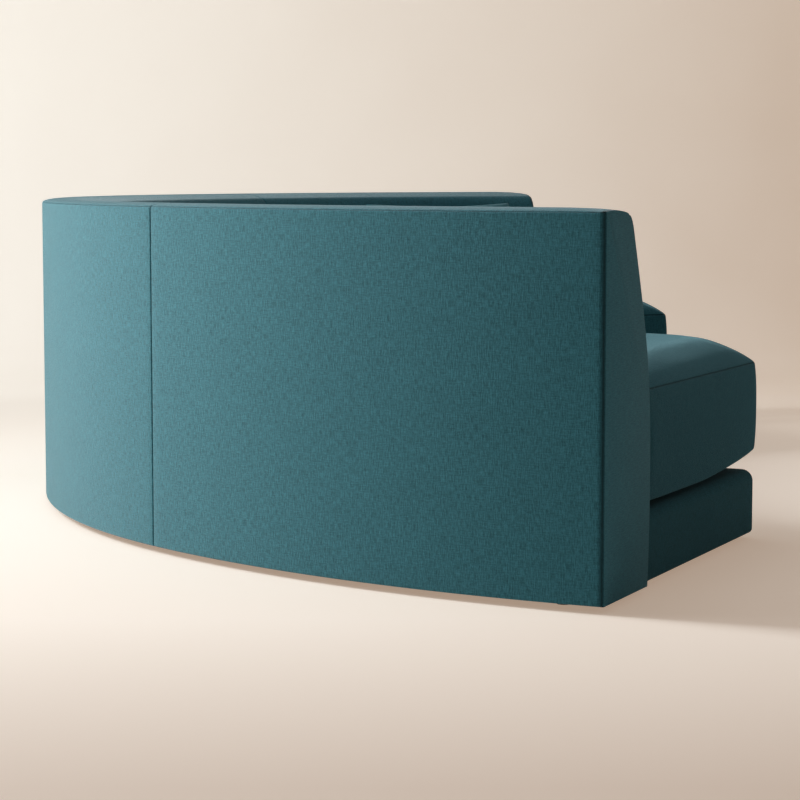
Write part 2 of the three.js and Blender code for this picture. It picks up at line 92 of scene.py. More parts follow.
# Lamps: each shines from its place toward its target, with a power in watts.
Lamp = namedtuple("Lamp", "name place target width height power colour")
WHITE = (1.0, 1.0, 1.0)
COOL_WHITE = (0.92, 1.0, 1.04)
LAMPS = (
    Lamp("key", (0.65, 5.0, 3.5), (-0.175, 4.47, 3.7), 1.8, 3.0, 582, WHITE),
    Lamp("fill", (-0.6, 5.0, 3.0), (-0.6, 0.0, 0.4), 3.0, 3.0, 34, WHITE),
    Lamp("low", (-0.6, 2.9, 0.45), (-0.6, 0.9, 0.15), 2.4, 0.6, 12, WHITE),
    Lamp("overhead", (0.2, 1.0, 4.6), (0.2, 0.6, 0.0), 4.0, 4.0, 29, COOL_WHITE),
)
WORLD_LIGHT = (0.079, 0.083, 0.086, 1)
WORLD_SEEN = (0.62, 0.54, 0.46, 1)

# Linen: its darkest and palest colours, the tints of its sheen, how fine each of its patterns is
# along and up the cloth, and how much each pattern shows.
DEEP = (0.022, 0.099, 0.121, 1)
PALE = (0.072, 0.284, 0.340, 1)
BLOOM = (0.85, 0.96, 1.0)
SEAT_BLOOM = (0.52, 0.9, 1.0)
WARP_PER_METRE = (460, 60, 1)
WEFT_PER_METRE = (60, 420, 1)
FINE_PER_METRE = (520, 300, 1)
TUFTS_PER_METRE = (14, 9, 1)
WARP_SHARE = 0.5
WEFT_SHARE = 0.27
FINE_SHARE = 0.23
THREAD_SHARE = 0.85
TUFT_SHARE = 0.14
THREAD_SPREAD = 0.125
THREAD_RELIEF = 0.0009
# A seam: the half width of its line of painted shade and where that fades out, and how deep its bump
# presses it in.
STITCH_CORE = 0.0006
STITCH_EDGE = 0.0022
STITCH_DEPTH = 3.0
# Painted shade: how far creases and seams are darkened toward a shadow colour, and how dark that
# colour is.
CREASE_SHADE_SHARE = 0.85
SHADOW_SHARE = 0.18

# The other finishes: their two colours, and how fine their patterns are.
WOOD_DARK = (0.62, 0.44, 0.26, 1)
WOOD_LIGHT = (0.76, 0.60, 0.40, 1)
GRAIN_PER_METRE = (9, 9, 160)
RINGS_PER_METRE = (3, 3, 30)
GRAIN_SHARE = 0.7
RING_SHARE = 0.3
GRAIN_RELIEF = 0.0004
DUST_DARK = (0.012, 0.012, 0.013, 1)
DUST_LIGHT = (0.03, 0.03, 0.033, 1)
FLECKS_PER_METRE = (500, 500, 500)
PLASTIC_DARK = (0.022, 0.022, 0.024, 1)
PLASTIC_LIGHT = (0.04, 0.04, 0.043, 1)
HAZE_PER_METRE = 300.0
ZINC_DARK = (0.44, 0.45, 0.46, 1)
ZINC_LIGHT = (0.58, 0.59, 0.60, 1)
SPANGLES_PER_METRE = 220.0

# Plan of the outer back: one arc for the center section and a flatter one for each wing.
CENTER_RADIUS = 1.876
CENTER_LENGTH = 2.414
WING_RADIUS = 2.354
WING_LENGTH = 1.172
CENTER_ANGLE = CENTER_LENGTH / CENTER_RADIUS / 2
WING_ANGLE = WING_LENGTH / WING_RADIUS
STATION_ANGLE = math.radians(0.7)

# Profile of the back: depths in from the outer face, heights, and the shares that bend its curves.
FIT = 0.0003
UNDERSIDE = 0.0136
SEAM_HEIGHT = 0.741
CROWN_CONTROL = 0.7522
CROWN_FRONT_SHARE = 0.6
CROWN_REAR_SHARE = 0.1
TOP_DEPTH = 0.136
TOP_FRONT_HEIGHT = 0.737
SHOULDER_DEPTH = 0.164
SHOULDER_HEIGHT = 0.710
WAIST_DEPTH = 0.273
WAIST_HEIGHT = 0.250
FACE_LOWER_SHARE = 0.42
FACE_UPPER_SHARE = 0.4
FACE_LEAN_SHARE = 0.66
FOOT_DEPTH = 0.262
PANEL = 0.0123
PANEL_FOOT_ROUND = 0.006
PADDING = 0.045
PADDING_FOOT = 0.1443
LIP_HEIGHT = 0.705
LIP_DEPTH = 0.12
END_PANEL = 0.037
SEAM_ROUND = 0.0035
END_SINK = 0.0035
SINK_LENGTH = 0.110

# The shares of a draw that the points of a section follow, in depth and in height.
FULL_DRAW = (1.0, 1.0)
SHOULDER_DRAW = (1.0, 0.6)
TOP_DRAW = (1.0, 0.25)
FOOT_DRAW = (1.0, 0.0)
NO_DRAW = (0.0, 0.0)

# Folds of the covers at their ends: how far from the end a fold lies, how far the section is drawn
# in there, and how much painted shade darkens it there, as in a crease, from 0 to 1.
Fold = namedtuple("Fold", "away draw crease")
JOINT_ROUND = 0.004
JOINT_SHADE = 1.2
JOINT_SHADE_START = 0.6
CORNER_ROUND = 0.011
CORNER_ANGLE = math.radians(60)
CORNER_GAP = 0.0016
CORNER_SHADE = 1.3
CORNER_SHADE_POWER = 1.5
CORNER_GROOVE = (Fold(0.0075, 0.0082, 1.0), Fold(0.0052, 0.0078, 1.0), Fold(0.0034, 0.0068, 1.0))
END_RIM = (
    Fold(0.0078, 0.0060, 1.0),
    Fold(0.0026, 0.0050, 1.0),
    Fold(0.0012, 0.0054, 0.8),
    Fold(0.0003, 0.0064, 0.4),
    Fold(0.0, 0.008, 0.0),
)

# Plinth and seat: depths in from the outer face of the back, heights, and the powers that bend
# the cushion's curves.
PLINTH_FRONT = 1.034
PLINTH_TOP = 0.156
PLINTH_INSET = 0.012
PLINTH_ROUND = 0.026
PLINTH_FOOT_ROUND = 0.010
SEAT_REAR = 0.276
SEAT_FRONT = 1.054
SEAT_BOTTOM = 0.1563
SEAT_SEAM = 0.393
SEAT_CROWN = 0.060
CROWN_FULLNESS = 3.5
EDGE_FULLNESS = 6.5
SEAT_BELLY = 0.017
SEAT_LIFT = 0.028
SEAT_LIFT_POWER = 1.3
SEAT_SEAM_DRAW = 0.004
SEAT_FOOT_DRAW = 0.003
SEAT_DRAW_POWER = 3
SEAT_CORNER = 0.018
SEAT_SPARE = 0.001
CUSHION_GAP = 0.002
WEAVE_DEPTH = 0.6

# Pillows: how far the middle of each edge is drawn in, and the room left for the filling.
PILLOW_PINCH = 0.016
PILLOW_EDGE = 0.002
PILLOW_SPARE = 0.004
PILLOW_FULLNESS = 4
PILLOW_SEAM = 0.006
PILLOW_VOXEL = 0.007

# Grids of the cushions and pillows, and how even or crowded toward the edges their lines lie.
SEAT_COLUMNS = {"center": 96, "left": 56, "right": 56}
SEAT_ROWS = 48
SEAT_LAYERS = 14
PILLOW_COLUMNS = 60
PILLOW_ROWS = 36
EVEN_SHARE = 0.3
CROWDED_SHARE = 0.7

LEFT, RIGHT = -1, 1


# Camera, floor, wall and lamps


def new_object(name, data):
    piece = bpy.data.objects.new(name, data)
    bpy.context.scene.collection.objects.link(piece)
    return piece


def add_camera():
    data = bpy.data.cameras.new("camera")
    data.lens = CAMERA_LENS
    data.sensor_width = CAMERA_SENSOR
    data.clip_start = CAMERA_NEAR
    data.clip_end = CAMERA_FAR
    camera = new_object("camera", data)
    camera.location = CAMERA_PLACE
    camera.rotation_euler = (math.pi / 2 - CAMERA_PITCH, 0, -math.pi / 2)
    bpy.context.scene.camera = camera


class Nodes:
    """Short calls for building the node tree of a material, or of a world if one is given."""

    def __init__(self, name, world=None):
        self.material = world or bpy.data.materials.new(name)
        self.material.use_nodes = True
        self.tree = self.material.node_tree
        self.tree.nodes.clear()
        self.output = self.add("ShaderNodeOutputWorld" if world else "ShaderNodeOutputMaterial")

    def add(self, kind, **settings):
        node = self.tree.nodes.new(kind)
        for key, value in settings.items():
            setattr(node, key, value)
        return node

    def feed(self, socket, value):
        if isinstance(value, bpy.types.NodeSocket):
            self.tree.links.new(value, socket)
        else:
            socket.default_value = value

    def math(self, operation, first, second=0.0, clamp=False):
        node = self.add("ShaderNodeMath", operation=operation, use_clamp=clamp)
        self.feed(node.inputs[0], first)
        self.feed(node.inputs[1], second)
        return node.outputs[0]

    def blend(self, *parts, clamp=False):
        """The sum of some values, each given with its share."""
        value, share = parts[0]
        total = self.math("MULTIPLY", value, share)
        for value, share in parts[1:]:
            total = self.math("ADD", total, self.math("MULTIPLY", value, share), clamp=clamp)
        return total

    def mix(self, share, first, second):
        node = self.add("ShaderNodeMix", data_type="RGBA")
        self.feed(node.inputs[0], share)
        self.feed(node.inputs[6], first)
        self.feed(node.inputs[7], second)
        return node.outputs[2]

    def noise(self, vector, scale=1.0, detail=2.0, roughness=0.5, dimensions="3D"):
        node = self.add("ShaderNodeTexNoise", noise_dimensions=dimensions)
        self.feed(node.inputs["Vector"], vector)
        self.feed(node.inputs["Scale"], scale)
        self.feed(node.inputs["Detail"], detail)
        self.feed(node.inputs["Roughness"], roughness)
        return node.outputs[0]

    def scaled(self, vector, scale, location=(0, 0, 0)):
        node = self.add("ShaderNodeMapping")
        self.feed(node.inputs["Vector"], vector)
        self.feed(node.inputs["Location"], location)
        self.feed(node.inputs["Scale"], scale)
        return node.outputs[0]

    def span(self, value, low, high, to_low=0.0, to_high=1.0):
        node = self.add("ShaderNodeMapRange")
        self.feed(node.inputs[0], value)
        for socket, number in zip(node.inputs[1:5], (low, high, to_low, to_high)):
            self.feed(socket, number)
        return node.outputs[0]

    def axes(self, vector):
        node = self.add("ShaderNodeSeparateXYZ")
        self.feed(node.inputs[0], vector)
        return node.outputs

    def bump(self, height, strength, distance):
        node = self.add("ShaderNodeBump")
        self.feed(node.inputs["Height"], height)
        self.feed(node.inputs["Strength"], strength)
        self.feed(node.inputs["Distance"], distance)
        return node.outputs[0]

    def place(self):
        """Where a point lies on its own object."""
        return self.add("ShaderNodeTexCoord").outputs["Object"]

    def seen(self):
        """1 for rays that come from the camera, straight or by way of a gloss, and 0 for light."""
        path = self.add("ShaderNodeLightPath")
        seen = self.math("ADD", path.outputs["Is Camera Ray"], path.outputs["Is Glossy Ray"])
        return self.math("ADD", seen, path.outputs["Is Transmission Ray"], clamp=True)

    def shade(self, **sockets):
        shader = self.add("ShaderNodeBsdfPrincipled")
        for name, value in sockets.items():
            self.feed(shader.inputs[name.replace("_", " ")], value)
        self.feed(self.output.inputs["Surface"], shader.outputs[0])
        return self.material


def add_stage():
    profile = [(FLOOR_NEAR, 0.0)]
    for i in range(COVE_STEPS + 1):
        turn = math.pi / 2 * i / COVE_STEPS
        reach = WALL_PLACE - COVE_RADIUS + COVE_RADIUS * math.sin(turn)
        profile.append((reach, COVE_RADIUS - COVE_RADIUS * math.cos(turn)))
    profile.append((WALL_PLACE, WALL_HEIGHT))
    mesh = bpy.data.meshes.new("studio")
    vertices = [(x, y, z) for x, z in profile for y in (-FLOOR_HALF_WIDTH, FLOOR_HALF_WIDTH)]
    faces = [(2 * i, 2 * i + 2, 2 * i + 3, 2 * i + 1) for i in range(len(profile) - 1)]
    mesh.from_pydata(vertices, [], faces)
    mesh.polygons.foreach_set("use_smooth", [True] * len(faces))
    studio = new_object("studio", mesh)
    mesh.materials.append(backdrop_paint())


def backdrop_paint():
    """Plaster with painted light: for the camera it glows cream on the left and tan on the right,
    beyond what the lamps give it, standing in for the lamps' light falling off and for the shade
    on the floor. It is clear from behind, so that the sofa can be looked at from every side."""
    n = Nodes("plaster")
    geometry = n.add("ShaderNodeNewGeometry")
    place = geometry.outputs["Position"]
    solid = n.math("SUBTRACT", 1.0, geometry.outputs["Backfacing"])
    axes = n.axes(place)
    cloudy = n.span(n.noise(place, CLOUD_SCALE, detail=3), 0.3, 0.7, -CLOUD_SHARE, CLOUD_SHARE)
    across = n.math("ADD", n.span(axes["Y"], GLOW_LEFT, GLOW_RIGHT), cloudy)
    # Painted light and shade: camera-only glows, lighter on the left and far off, darker to the right
    # and near the camera.
    wall = n.mix(across, WALL_LEFT_PAINTED_LIGHT, WALL_RIGHT_PAINTED_LIGHT)
    floor = n.mix(n.span(axes["X"], GLOW_NEAR, GLOW_FAR), FLOOR_NEAR_PAINTED_LIGHT, FLOOR_FAR_PAINTED_LIGHT)
    painted_light = n.mix(n.span(axes["X"], FLOOR_GLOW_END, WALL_GLOW_START), floor, wall)
    return n.shade(
        Base_Color=PLASTER, Roughness=0.9, Specular_IOR_Level=0.0,
        Emission_Color=painted_light, Emission_Strength=n.seen(), Alpha=solid,
    )


def add_lamp(lamp):
    data = bpy.data.lights.new(lamp.name, "AREA")
    data.shape = "RECTANGLE"
    data.size = lamp.width
    data.size_y = lamp.height
    data.energy = lamp.power
    data.color = lamp.colour
    light = new_object(lamp.name, data)
    light.location = lamp.place
    aim = Vector(lamp.target) - Vector(lamp.place)
    light.rotation_euler = aim.to_track_quat("-Z", "Y").to_euler()


def add_lights():
    for lamp in LAMPS:
        add_lamp(lamp)
    world = bpy.data.worlds.new("studio")
    n = Nodes("studio", world)
    background = n.add("ShaderNodeBackground")
    n.feed(background.inputs["Color"], n.mix(n.seen(), WORLD_LIGHT, WORLD_SEEN))
    n.feed(n.output.inputs["Surface"], background.outputs[0])
    bpy.context.scene.world = world


# Materials


def toned(colour, share):
    return tuple(share * value for value in colour[:3]) + (1,)


def quarter_turned(scale):
    return (scale[1], scale[0], scale[2])


def linen(
    name, deep, pale, contrast=1.0, sheen=0.5, bloom=BLOOM, gloss=0.25,
    crosswise=False, offset=0.0, seam=None,
):
    """Slubbed plain weave. The piece's weave coordinates run in metres along and up the cloth;
    painted shade darkens its creases, and a seam at a height, if there is one."""
    n = Nodes(name)
    weave = n.add("ShaderNodeUVMap", uv_map="weave").outputs[0]
    shift = (offset, offset, 0)
    slubs = quarter_turned(WARP_PER_METRE) if crosswise else WARP_PER_METRE
    picks = quarter_turned(WEFT_PER_METRE) if crosswise else WEFT_PER_METRE
    warp = n.noise(n.scaled(weave, slubs, shift), roughness=0.6, dimensions="2D")
    weft = n.noise(n.scaled(weave, picks, shift), roughness=0.55, dimensions="2D")
    fine = n.noise(n.scaled(weave, FINE_PER_METRE), roughness=0.6, dimensions="2D")
    tufts = n.noise(n.scaled(weave, TUFTS_PER_METRE), detail=3.0, roughness=0.6, dimensions="2D")
    thread = n.blend((warp, WARP_SHARE), (weft, WEFT_SHARE), (fine, FINE_SHARE))
    spread = THREAD_SPREAD / contrast
    thread = n.span(thread, 0.5 - spread, 0.5 + spread)
    share = n.blend((thread, THREAD_SHARE), (tufts, TUFT_SHARE), clamp=True)
    colour = n.mix(share, deep, pale)
    # Painted shade: each point's crease value darkens the colour toward a shadow colour, for the
    # shade in folds and grooves.
    crease = n.add("ShaderNodeAttribute", attribute_name="crease").outputs["Fac"]
    height = thread
    if seam is not None:
        # Painted shade along the seam's groove, which the bump also presses in.
        off_seam = n.math("ABSOLUTE", n.math("SUBTRACT", n.axes(n.place())["Z"], seam))
        stitch = n.span(off_seam, STITCH_CORE, STITCH_EDGE, 1.0, 0.0)
        crease = n.math("MAXIMUM", crease, stitch)
        height = n.math("SUBTRACT", thread, n.math("MULTIPLY", stitch, STITCH_DEPTH))
    colour = n.mix(n.math("MULTIPLY", crease, CREASE_SHADE_SHARE), colour, toned(deep, SHADOW_SHARE))
    return n.shade(
        Base_Color=colour, Roughness=0.9, Specular_IOR_Level=gloss, Sheen_Weight=sheen,
        Sheen_Roughness=0.4, Sheen_Tint=(*bloom, 1),
        Normal=n.bump(height, strength=0.5, distance=THREAD_RELIEF),
    )


def plywood():
    n = Nodes("birch_plywood")
    grain = n.noise(n.scaled(n.place(), GRAIN_PER_METRE), detail=4.0, roughness=0.6)
    rings = n.noise(n.scaled(n.place(), RINGS_PER_METRE))
    share = n.span(n.blend((grain, GRAIN_SHARE), (rings, RING_SHARE)), 0.35, 0.65)
    colour = n.mix(share, WOOD_DARK, WOOD_LIGHT)
    relief = n.bump(grain, strength=0.2, distance=GRAIN_RELIEF)
    return n.shade(Base_Color=colour, Roughness=0.65, Normal=relief)


def dust_cloth():
    n = Nodes("dust_cloth")
    fleck = n.noise(n.scaled(n.place(), FLECKS_PER_METRE))
    colour = n.mix(n.span(fleck, 0.4, 0.65), DUST_DARK, DUST_LIGHT)
    return n.shade(Base_Color=colour, Roughness=0.95, Specular_IOR_Level=0.2)


def glide_plastic():
    n = Nodes("glide_plastic")
    haze = n.noise(n.place(), HAZE_PER_METRE)
    colour = n.mix(haze, PLASTIC_DARK, PLASTIC_LIGHT)
    return n.shade(Base_Color=colour, Roughness=n.span(haze, 0.3, 0.7, 0.4, 0.6))


def zinc():
    n = Nodes("zinc_plate")
    spangle = n.noise(n.place(), SPANGLES_PER_METRE)
    colour = n.mix(spangle, ZINC_DARK, ZINC_LIGHT)
    return n.shade(Base_Color=colour, Metallic=1.0, Roughness=n.span(spangle, 0.3, 0.7, 0.3, 0.5))


# Sections of the sofa

# A cross section's place along a module: an angle, the distance from it along the arc, how far
# the section is drawn in there, how much its crown sinks, and how much painted shade darkens it, as
# in a crease.
Station = namedtuple("Station", "angle away draw sink crease", defaults=(0.0, 0.0, 0.0, 0.0))


class Module:
    """One section: its outer back is an arc, and its angles run clockwise seen from above."""

    def __init__(self, name, radius, start, end, outer, place):
        self.name = name
        self.radius = radius
        self.start = start
        self.end = end
        self.outer = outer
        self.place = place

    def point(self, angle, away, depth, height):
        reach = self.radius - depth
        turn = angle + away / reach
        flat = Vector((reach * math.sin(turn), reach * math.cos(turn) - self.radius, height))
        return self.place @ flat

    def closed(self, side):
        """Whether that side is the sofa's outer end rather than a joint."""
        return self.outer == side

    def end_angle(self, side):
        return self.end if side == RIGHT else self.start


def make_modules():
    back = Matrix.Translation((0, cad_high.y, 0))
    modules = [Module("center", CENTER_RADIUS, -CENTER_ANGLE, CENTER_ANGLE, 0, back)]
    for side, name in ((LEFT, "left"), (RIGHT, "right")):
        joint = Vector((side * CENTER_RADIUS * math.sin(CENTER_ANGLE), 0, 0))
        joint.y = -CENTER_RADIUS * (1 - math.cos(CENTER_ANGLE))
        turn = Matrix.Rotation(-side * CENTER_ANGLE, 4, "Z")
        place = back @ Matrix.Translation(joint) @ turn
        start, end = (0, WING_ANGLE) if side == RIGHT else (-WING_ANGLE, 0)
        modules.append(Module(name, WING_RADIUS, start, end, side, place))
    return modules


def bezier(points, steps):
    """Points of a Bezier curve of any degree, both ends included."""
    curve = []
    for i in range(steps + 1):
        t = i / steps
        row = [Vector(p) for p in points]
        while len(row) > 1:
            row = [a.lerp(b, t) for a, b in zip(row, row[1:])]
        curve.append(row[0])
    return curve


def back_face(steps=28):
    """The front of the back, from its waist up to its shoulder."""
    height = SHOULDER_HEIGHT - WAIST_HEIGHT
    lean = WAIST_DEPTH - SHOULDER_DEPTH
    return bezier(
        [
            (WAIST_DEPTH, WAIST_HEIGHT),
            (WAIST_DEPTH, WAIST_HEIGHT + FACE_LOWER_SHARE * height),
            (SHOULDER_DEPTH + FACE_LEAN_SHARE * lean, SHOULDER_HEIGHT - FACE_UPPER_SHARE * height),
            (SHOULDER_DEPTH, SHOULDER_HEIGHT),
        ],
        steps,
    )


def back_shoulder(steps=8):
    middle = ((SHOULDER_DEPTH + TOP_DEPTH) / 2, TOP_FRONT_HEIGHT)
    return bezier([(SHOULDER_DEPTH, SHOULDER_HEIGHT), middle, (TOP_DEPTH, TOP_FRONT_HEIGHT)], steps)


def back_crown(steps=16):
    """The top of the back, from its front to the seam at its rear."""
    front = (CROWN_FRONT_SHARE * TOP_DEPTH, CROWN_CONTROL)
    rear = (CROWN_REAR_SHARE * TOP_DEPTH, CROWN_CONTROL)
    return bezier([(TOP_DEPTH, TOP_FRONT_HEIGHT), front, rear, (0, SEAM_HEIGHT)], steps)


def back_foot(steps=6):
    """The front of the back's end, from its foot up to its waist."""
    middle = (WAIST_DEPTH, WAIST_HEIGHT / 2)
    return bezier([(FOOT_DEPTH, UNDERSIDE), middle, (WAIST_DEPTH, WAIST_HEIGHT)], steps)


def rounded_corner(before, corner, after, radius, steps=4):
    """The corner's points once it is rounded by about that radius."""
    start = Vector(corner) + (Vector(before) - Vector(corner)).normalized() * radius
    end = Vector(corner) + (Vector(after) - Vector(corner)).normalized() * radius
    return bezier([start, corner, end], steps)


def following(points, draw=FULL_DRAW):
    """Points of a section, each with the shares of a draw that it follows."""
    return [(Vector(p), draw) for p in points]


def padding_section():
    corner = rounded_corner(back_crown()[-3], (0, SEAM_HEIGHT), (PANEL, SEAM_HEIGHT), SEAM_ROUND)
    lip = [(PANEL, SEAM_HEIGHT), (PANEL, LIP_HEIGHT), (LIP_DEPTH, LIP_HEIGHT)]
    inner = [Vector((p.x - PADDING, p.y)) for p in back_face(steps=10) if p.y < LIP_HEIGHT]
    return (
        following([(WAIST_DEPTH, PADDING_FOOT), *back_face()])
        + following(back_shoulder()[1:], SHOULDER_DRAW)
        + following([*back_crown()[1:-1], *corner], TOP_DRAW)
        + following([*lip, *inner[::-1], (WAIST_DEPTH - PADDING, PADDING_FOOT)], NO_DRAW)
    )


def panel_section():
    top = SEAM_HEIGHT - FIT
    foot = rounded_corner((PANEL, UNDERSIDE), (0, UNDERSIDE), (0, top), PANEL_FOOT_ROUND)
    head = rounded_corner((0, UNDERSIDE), (0, top), (PANEL, top), SEAM_ROUND)
    inner = [(PANEL, top), (PANEL, UNDERSIDE)]
    return following(inner, NO_DRAW) + following(foot, FOOT_DRAW) + following(head, TOP_DRAW)


def end_section():
    foot = back_foot()
    return (
        following(foot[:1], FOOT_DRAW)
        + following([*foot[1:-1], *back_face()])
        + following(back_shoulder()[1:], SHOULDER_DRAW)
        + following(back_crown()[1:], TOP_DRAW)
        + following([(0, UNDERSIDE)], FOOT_DRAW)
    )


def foot_section():
    top = PADDING_FOOT - FIT
    rear = WAIST_DEPTH - PADDING
    front = [*(p for p in back_foot() if p.y < top), (WAIST_DEPTH, top)]
    return following(front, FOOT_DRAW) + following([(rear, top), (rear, UNDERSIDE)], NO_DRAW)


def outward_normals(section):
    """For each point of a closed section, the direction that moves it straight off the material."""
    points = [p for p, _ in section]
    area = sum(a.x * b.y - b.x * a.y for a, b in zip(points, points[1:] + points[:1]))
    outside = 1 if area > 0 else -1
    normals = []
    for i, point in enumerate(points):
        before = (point - points[i - 1]).normalized()
        after = (points[(i + 1) % len(points)] - point).normalized()
        along = (before + after).normalized()
        normal = Vector((along.y, -along.x)) * outside
        square = normal.dot(Vector((after.y, -after.x))) * outside
        normals.append(normal / max(0.5, square))
    return normals


def joint_folds(steps=5):
    """The folds of a cover at a joint, from the joint inward."""
    angles = [math.pi / 2 * (1 - i / steps) for i in range(steps + 1)]
    return [
        Fold(
            FIT + JOINT_ROUND * (1 - math.sin(t)),
            JOINT_ROUND * (1 - math.cos(t)),
            max(0, JOINT_SHADE * math.sin(t) - JOINT_SHADE_START),
        )
        for t in angles
    ]


def corner_folds(steps=7):
    """The same at an outer corner, where the cover turns in to the seam round the end's face."""
    angles = [CORNER_ANGLE * (1 - i / steps) for i in range(steps + 1)]
    turned = [
        Fold(
            CORNER_GAP + CORNER_ROUND * (1 - math.sin(t)),
            CORNER_ROUND * (1 - math.cos(t)),
            min(1, CORNER_SHADE * math.sin(t) ** CORNER_SHADE_POWER),
        )
        for t in angles
    ]
    return [*CORNER_GROOVE, *turned]


def sink_at(module, angle):
    """How far the crown has sunk there; it sinks toward an outer end."""
    gaps = [abs(module.end_angle(side) - angle) for side in (LEFT, RIGHT) if module.closed(side)]
    nearest = min(gaps, default=SINK_LENGTH) * module.radius
    return END_SINK * max(0, 1 - nearest / SINK_LENGTH) ** 2


def end_stations(module, side, folds):
    angle = module.end_angle(side)
    sink = sink_at(module, angle)
    return [Station(angle, -side * fold.away, fold.draw, sink, fold.crease) for fold in folds]


def side_stations(module, side):
    return end_stations(module, side, corner_folds() if module.closed(side) else joint_folds())


def stations(module):
    """The cross sections of a sweep along the whole module."""
    spread = module.end - module.start
    rings = math.ceil(spread / STATION_ANGLE)
    angles = [module.start + spread * i / rings for i in range(1, rings)]
    rows = [Station(angle, sink=sink_at(module, angle)) for angle in angles]
    return side_stations(module, LEFT) + rows + side_stations(module, RIGHT)[::-1]


def sweep_into(bm, module, section, rows):
    """Adds a closed section swept along the rows of stations, with a face at both ends."""
    layer = bm.loops.layers.uv.verify()
    # Each point also stores how much painted shade darkens it, as in a crease.
    crease_shades = bm.verts.layers.float.get("crease") or bm.verts.layers.float.new("crease")
    normals = outward_normals(section)
    points = [p for p, _ in section]
    lengths = [0.0]
    for a, b in zip(points, points[1:] + points[:1]):
        lengths.append(lengths[-1] + (b - a).length)
    highest = max(p.y for p in points) - SEAM_HEIGHT
    rings = []
    for row in rows:
        ring = []
        for (point, (sideways, upward)), normal in zip(section, normals):
            sunk = row.sink * max(0, point.y - SEAM_HEIGHT) / highest if upward else 0
            depth = point.x - row.draw * normal.x * sideways
            height = point.y - row.draw * normal.y * upward - sunk
            ring.append(bm.verts.new(module.point(row.angle, row.away, depth, height)))
            ring[-1][crease_shades] = row.crease
        rings.append(ring)
    count = len(section)
    for i in range(len(rings) - 1):
        for j in range(count):
            k = (j + 1) % count
            corners = ((i, j, j), (i, k, j + 1), (i + 1, k, j + 1), (i + 1, j, j))
            face = bm.faces.new([rings[a][b] for a, b, _ in corners])
            for loop, (a, b, c) in zip(face.loops, corners):
                arc = rows[a].angle * (module.radius - points[b].x) + rows[a].away
                loop[layer].uv = (arc, lengths[c])
    for ring, outline in ((rings[0][::-1], points[::-1]), (rings[-1], points)):
        face = bm.faces.new(ring)
        for loop, point in zip(face.loops, outline):
            loop[layer].uv = (point.x, point.y)


def finish_mesh(name, bm, material, sharp=35):
    """An object of the mesh; edges that turn by more than the sharp angle, in degrees, stay sharp."""
    bmesh.ops.recalc_face_normals(bm, faces=bm.faces)
    mesh = bpy.data.meshes.new(name)
    bm.to_mesh(mesh)
    bm.free()
    if mesh.uv_layers:
        mesh.uv_layers[0].name = "weave"
    mesh.polygons.foreach_set("use_smooth", [True] * len(mesh.polygons))
    mesh.set_sharp_from_angle(angle=math.radians(sharp))
    mesh.materials.append(material)
    return new_object(name, mesh)


def take_place(piece, body, slot, *nodes):
    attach(piece, body)
    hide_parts(*nodes)


def add_back(module, fabric):
    rows = stations(module)
    for name, section, node in (
        ("back_cover_", padding_section(), "back_padding_"),
        ("outer_cover_", panel_section(), "outer_panel_"),
    ):
        bm = bmesh.new()
        sweep_into(bm, module, section, rows)
        piece = finish_mesh(name + module.name, bm, fabric)
        take_place(piece, "root", "upholstery", node + module.name)


def add_end(module, fabric):
    """The face of the outer end, set inside the corner's seam, and the foot of the back's front."""
    foot_folds = [Fold(END_PANEL, 0, 0), *corner_folds()[::-1]]
    bm = bmesh.new()
    for section, folds in ((end_section(), END_RIM), (foot_section(), foot_folds)):
        sweep_into(bm, module, section, end_stations(module, module.outer, folds))
    piece = finish_mesh("end_cover_" + module.name, bm, fabric)
    take_place(piece, "root", "upholstery", "end_panel_" + module.name)


# Blocks, cushions and pillows


def grid_block(columns, rows, layers, place):
    """A closed box of grid faces; each point is placed by its column, row and layer."""
    bm = bmesh.new()
    found = {}

    def vertex(i, j, k):
        if (i, j, k) not in found:
            found[i, j, k] = bm.verts.new(place(i, j, k))
        return found[i, j, k]

    def add_face(*corners):
        bm.faces.new([vertex(*corner) for corner in corners])

    for i in range(columns):
        for j in range(rows):
            for k in (0, layers):
                add_face((i, j, k), (i + 1, j, k), (i + 1, j + 1, k), (i, j + 1, k))
    for i in range(columns):
        for k in range(layers):
            for j in (0, rows):
                add_face((i, j, k), (i + 1, j, k), (i + 1, j, k + 1), (i, j, k + 1))
    for j in range(rows):
        for k in range(layers):
            for i in (0, columns):
                add_face((i, j, k), (i, j + 1, k), (i, j + 1, k + 1), (i, j, k + 1))
    bmesh.ops.recalc_face_normals(bm, faces=bm.faces)
    return bm


